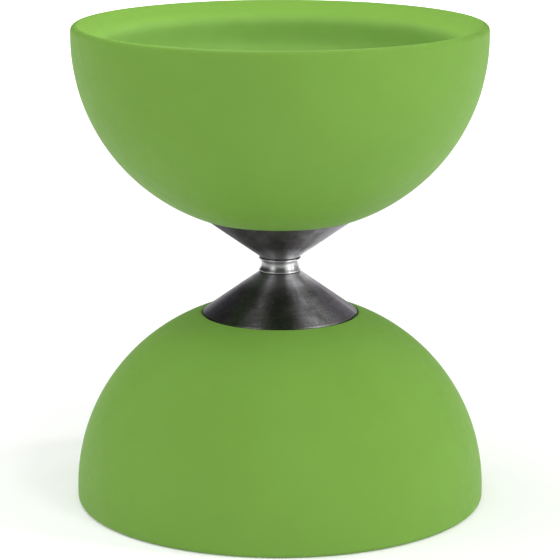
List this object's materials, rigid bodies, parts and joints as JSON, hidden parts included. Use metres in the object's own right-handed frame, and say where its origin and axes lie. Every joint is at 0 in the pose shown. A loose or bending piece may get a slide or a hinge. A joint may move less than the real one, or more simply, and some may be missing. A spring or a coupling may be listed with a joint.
{
  "type": "diabolo",
  "caption": "Juggling diabolo: two soft rubber cups back to back on a slim turned-steel waist with a hollow string roller, clamped by a threaded stud and nuts.",
  "frame": {"origin": "centre of the waist on the axle's centreline, where the string runs", "axes": "+Z along the axle towards the upper cup's mouth, +X through a corner of each nut; symmetric under half a turn about X"},
  "size_m": [0.105, 0.105, 0.123],
  "materials": {
    "cup_rubber": "satin",
    "turned_steel": "satin",
    "polished_steel": "polished",
    "zinc_steel": "satin",
    "plate_steel": "satin",
    "bush_steel": "satin",
    "black_gasket": "matte",
    "black_fibre": "matte",
    "nylon": "satin"
  },
  "bodies": {
    "root": {"axle_stud": "zinc_steel", "axle_roller": "polished_steel", "upper_roller_shim": "black_fibre", "lower_roller_shim": "black_fibre", "upper_hub_cone": "turned_steel", "lower_hub_cone": "turned_steel", "upper_hub_gasket": "black_gasket", "lower_hub_gasket": "black_gasket", "upper_cup": "cup_rubber", "lower_cup": "cup_rubber", "upper_cup_bush": "bush_steel", "lower_cup_bush": "bush_steel", "upper_clamp_plate": "plate_steel", "lower_clamp_plate": "plate_steel"},
    "upper_washer": {"upper_flat_washer": "zinc_steel"},
    "upper_nut": {"upper_axle_nut": "zinc_steel", "upper_nut_ring": "nylon"},
    "lower_washer": {"lower_flat_washer": "zinc_steel"},
    "lower_nut": {"lower_axle_nut": "zinc_steel", "lower_nut_ring": "nylon"}
  },
  "joints": [
    {"name": "upper_nut_lift", "type": "slide", "parent": "root", "child": "upper_washer", "axis": [0, 0, 1], "range_m": [0, 0.011]},
    {"name": "upper_nut_turn", "type": "hinge", "parent": "upper_washer", "child": "upper_nut", "pos_m": [0, 0, 0.024], "axis": [0, 0, 1], "range_deg": [0, 3960]},
    {"name": "lower_nut_lift", "type": "slide", "parent": "root", "child": "lower_washer", "axis": [0, 0, -1], "range_m": [0, 0.011]},
    {"name": "lower_nut_turn", "type": "hinge", "parent": "lower_washer", "child": "lower_nut", "pos_m": [0, 0, -0.024], "axis": [0, 0, -1], "range_deg": [0, 3960]}
  ],
  "couplings": [
    {"joint": "upper_nut_turn", "follows": "upper_nut_lift", "rad_per_m": 6283.2},
    {"joint": "lower_nut_turn", "follows": "lower_nut_lift", "rad_per_m": 6283.2}
  ]
}
